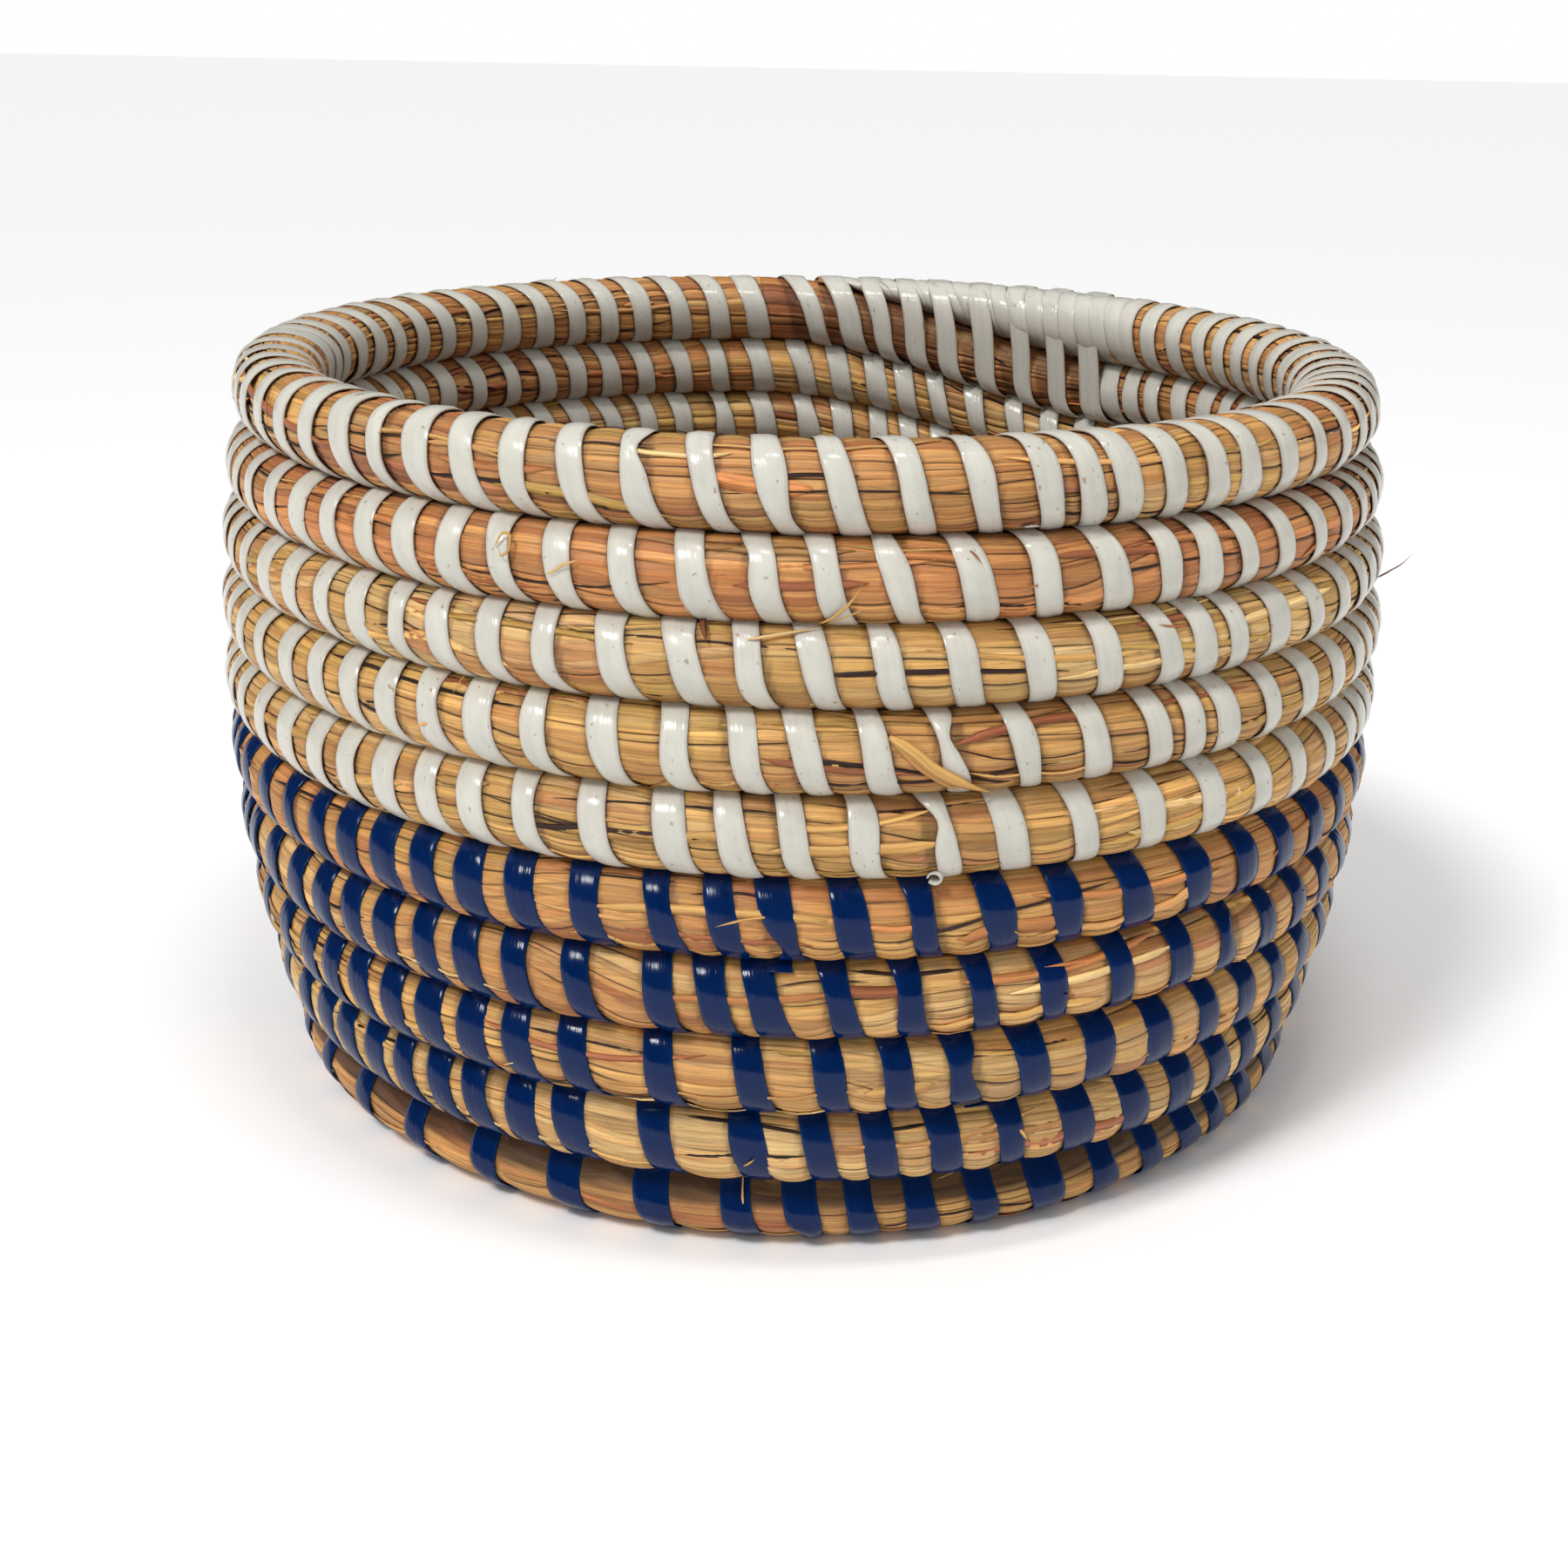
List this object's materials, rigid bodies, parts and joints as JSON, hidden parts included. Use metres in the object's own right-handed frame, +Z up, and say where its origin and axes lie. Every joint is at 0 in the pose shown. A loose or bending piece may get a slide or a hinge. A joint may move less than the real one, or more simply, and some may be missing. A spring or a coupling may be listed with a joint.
{
  "type": "coiled grass basket",
  "caption": "Round open basket of coiled dried grass, stitched with glossy plastic strips that are blue low down and white above.",
  "frame": {"origin": "centre of the foot, on the surface that the basket stands on", "axes": "+Z up through the middle of the mouth; +Y towards the back, where each turn of the coil climbs to the next and the tail lies on the rim; -Y is the front"},
  "size_m": [0.2488, 0.249, 0.1531],
  "materials": {
    "grass_bundle": "dried grass stalks laid lengthwise, golden to red-brown, satin",
    "white_strip": "thin woven-bag plastic strip, warm white, glossy with fine creases",
    "blue_strip": "thin plastic strip, deep royal blue, glossy with fine creases"
  },
  "bodies": {
    "root": {"base_knot": "grass_bundle", "base_turn_01": "grass_bundle", "base_turn_02": "grass_bundle", "base_turn_03": "grass_bundle", "base_turn_04": "grass_bundle", "blue_strip_01": "blue_strip", "blue_strip_02": "blue_strip", "blue_strip_03": "blue_strip", "blue_strip_04": "blue_strip", "blue_strip_05": "blue_strip", "blue_strip_06": "blue_strip", "blue_strip_07": "blue_strip", "blue_strip_08": "blue_strip", "blue_strip_09": "blue_strip", "blue_strip_10": "blue_strip", "blue_strip_11": "blue_strip", "blue_strip_12": "blue_strip", "blue_strip_13": "blue_strip", "rim_row": "grass_bundle", "rim_tail": "grass_bundle", "wall_row_01": "grass_bundle", "wall_row_02": "grass_bundle", "wall_row_03": "grass_bundle", "wall_row_04": "grass_bundle", "wall_row_05": "grass_bundle", "wall_row_06": "grass_bundle", "wall_row_07": "grass_bundle", "wall_row_08": "grass_bundle", "wall_row_09": "grass_bundle", "white_strip_01": "white_strip", "white_strip_02": "white_strip", "white_strip_03": "white_strip", "white_strip_04": "white_strip", "white_strip_05": "white_strip", "white_strip_06": "white_strip", "white_strip_07": "white_strip", "white_strip_08": "white_strip", "white_strip_09": "white_strip", "white_strip_10": "white_strip"}
  },
  "joints": []
}
